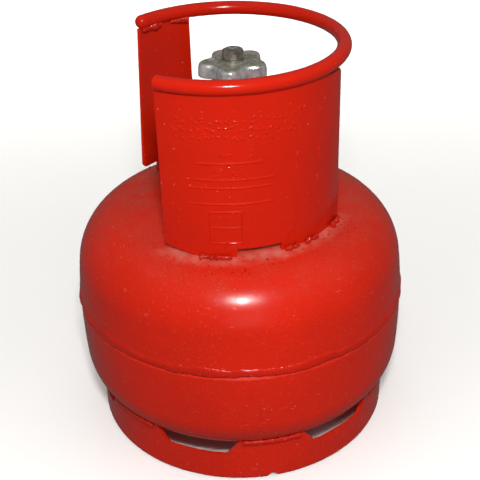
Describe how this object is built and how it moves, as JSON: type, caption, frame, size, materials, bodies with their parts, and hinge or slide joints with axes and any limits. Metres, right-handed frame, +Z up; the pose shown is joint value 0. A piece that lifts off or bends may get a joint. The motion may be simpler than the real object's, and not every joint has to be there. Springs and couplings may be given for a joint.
{
  "type": "propane tank",
  "caption": "Small refillable LPG cylinder with girth weld, notched foot ring, two-plate valve guard, round carrying ring and hand-wheel valve.",
  "frame": {"origin": "bottom centre of the foot ring, on the tank's axis", "axes": "+Z up along the tank's axis, -Y to the front guard plate, valve outlet along -X"},
  "size_m": [0.224, 0.224, 0.2689],
  "materials": {
    "body_paint": "gloss red enamel, dusty and scuffed",
    "guard_paint": "gloss red enamel",
    "weld_paint": "red enamel over rough weld beads",
    "valve_brass": "forged brass, dull",
    "plated_steel": "zinc-plated steel, dull",
    "cast_aluminium": "cast aluminium, worn bright on the rim",
    "black_rubber": "matt rubber",
    "white_polymer": "off-white polymer"
  },
  "bodies": {
    "tank": {"upper_shell": "body_paint", "lower_shell": "body_paint", "girth_weld": "weld_paint", "foot_ring": "body_paint", "foot_joint_weld": "weld_paint", "foot_ring_welds": "weld_paint", "carrying_ring": "guard_paint", "front_guard_plate": "guard_paint", "rear_guard_plate": "guard_paint", "front_plate_foot_welds": "weld_paint", "rear_plate_foot_welds": "weld_paint", "front_plate_ring_welds": "weld_paint", "rear_plate_ring_welds": "weld_paint", "valve_boss": "body_paint", "boss_weld": "weld_paint", "valve_body": "valve_brass", "outlet_gasket": "black_rubber", "bonnet_gasket": "white_polymer", "bonnet_nut": "valve_brass", "spindle_packing": "white_polymer"},
    "wheel": {"handwheel": "cast_aluminium", "spring_washer": "plated_steel", "handwheel_nut": "plated_steel", "spindle": "plated_steel"},
    "seat": {"seat_disc": "white_polymer"},
    "plug": {"valve_plug": "valve_brass"}
  },
  "joints": [
    {"name": "handwheel_turn", "type": "hinge", "parent": "tank", "child": "wheel", "pos_m": [0, 0, 0.249], "axis": [0, 0, 1], "range_deg": [0, 905]},
    {"name": "seat_lift", "type": "slide", "parent": "tank", "child": "seat", "axis": [0, 0, 1], "range_m": [0, 0.00375]},
    {"name": "plug_turn", "type": "hinge", "parent": "seat", "child": "plug", "pos_m": [0, 0, 0.213], "axis": [0, 0, 1], "range_deg": [0, 905]}
  ],
  "couplings": [
    {"joint": "handwheel_turn", "follows": "seat_lift", "rad_per_m": 4188.8},
    {"joint": "plug_turn", "follows": "seat_lift", "rad_per_m": 4188.8}
  ]
}
